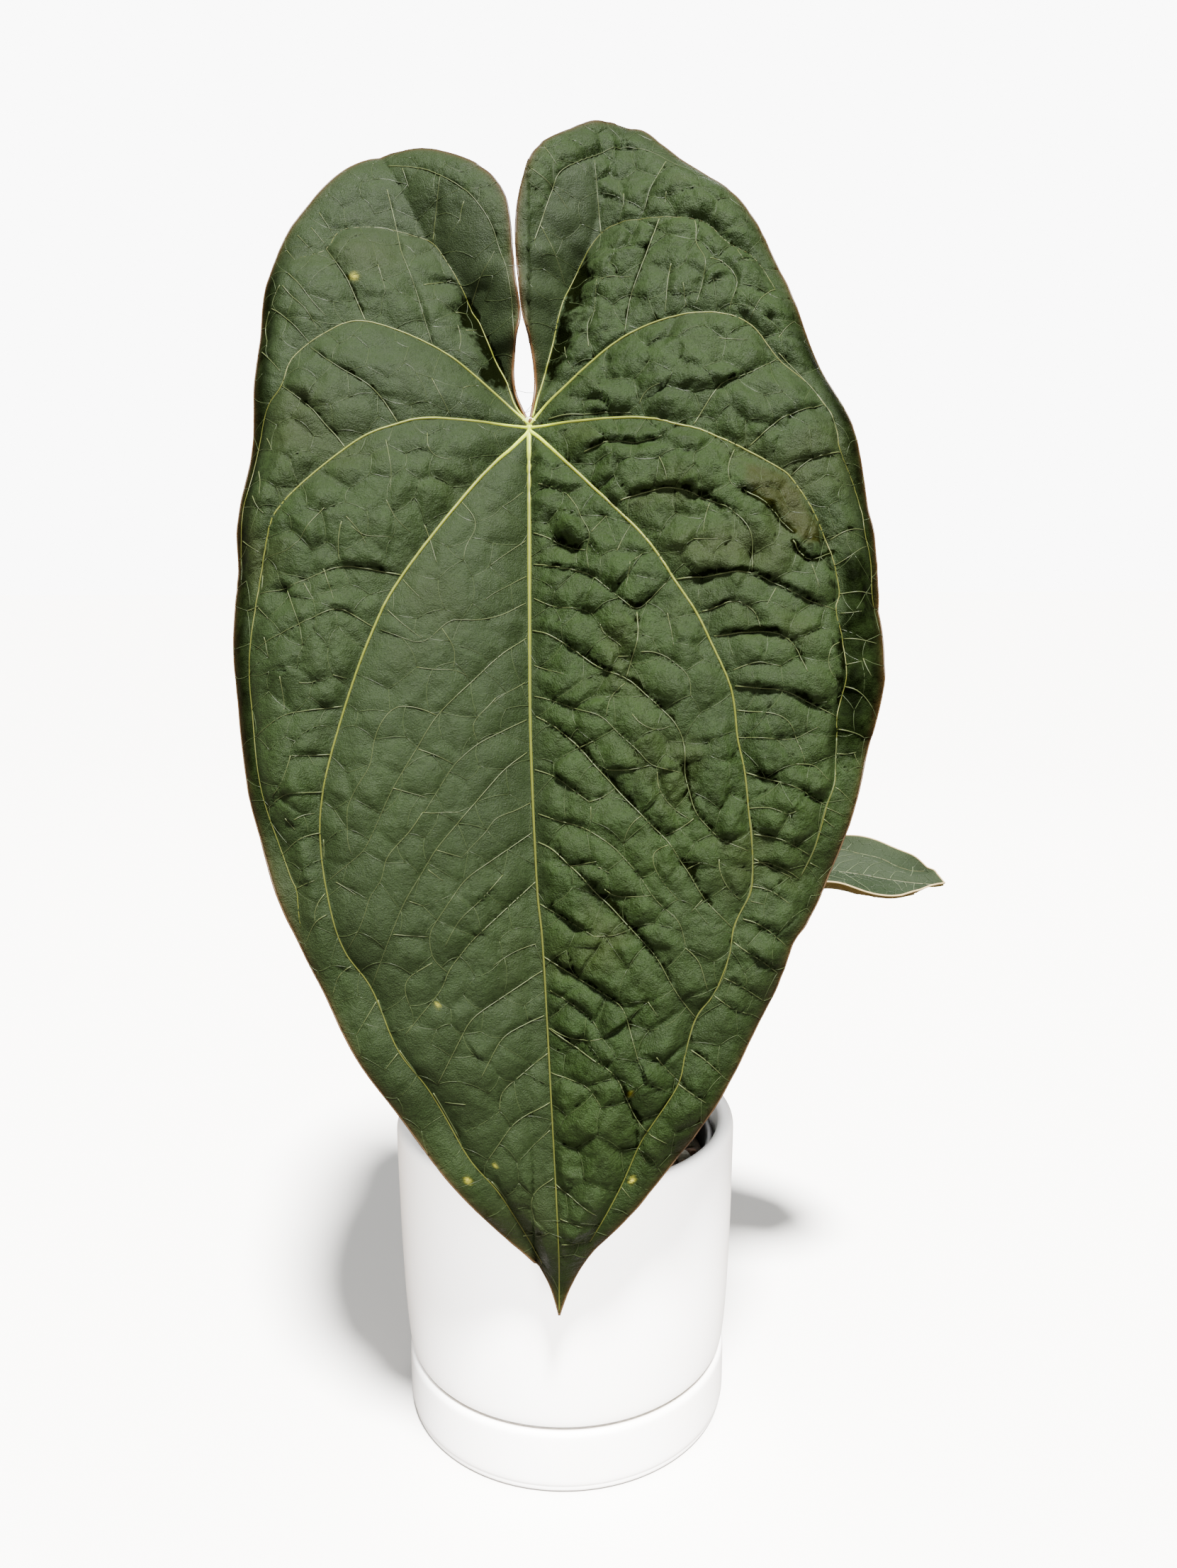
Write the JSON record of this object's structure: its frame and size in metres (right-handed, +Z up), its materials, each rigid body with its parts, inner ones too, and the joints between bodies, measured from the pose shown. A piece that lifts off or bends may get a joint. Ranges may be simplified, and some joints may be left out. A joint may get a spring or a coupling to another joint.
{
  "type": "potted anthurium hybrid plant",
  "caption": "Potted anthurium with a large heart-shaped ribbed leaf and a younger leaf behind it, in a round white glazed pot on a matching saucer.",
  "frame": {"origin": "centre of the saucer's underside, on the surface it stands on", "axes": "+Z up along the pot's axis, -Y toward the face of the large leaf, +X to that leaf's right as seen"},
  "size_m": [0.2559, 0.1888, 0.4828],
  "materials": {
    "glazed_white": "satin white glaze",
    "black_plastic": "matte black",
    "bark_mix": "rough bark, pumice and fibre",
    "green_stem": "satin plant stalk",
    "leaf_green": "satin dark green blade, raised yellow-green veins",
    "leaf_young": "satin grey-green blade, cream edge"
  },
  "bodies": {
    "root": {"saucer": "glazed_white", "pot": "glazed_white", "nursery_pot": "black_plastic", "substrate": "bark_mix", "stem": "green_stem", "leaf_main": "leaf_green", "petiole_main": "green_stem", "leaf_second": "leaf_young", "petiole_second": "green_stem"}
  },
  "joints": []
}
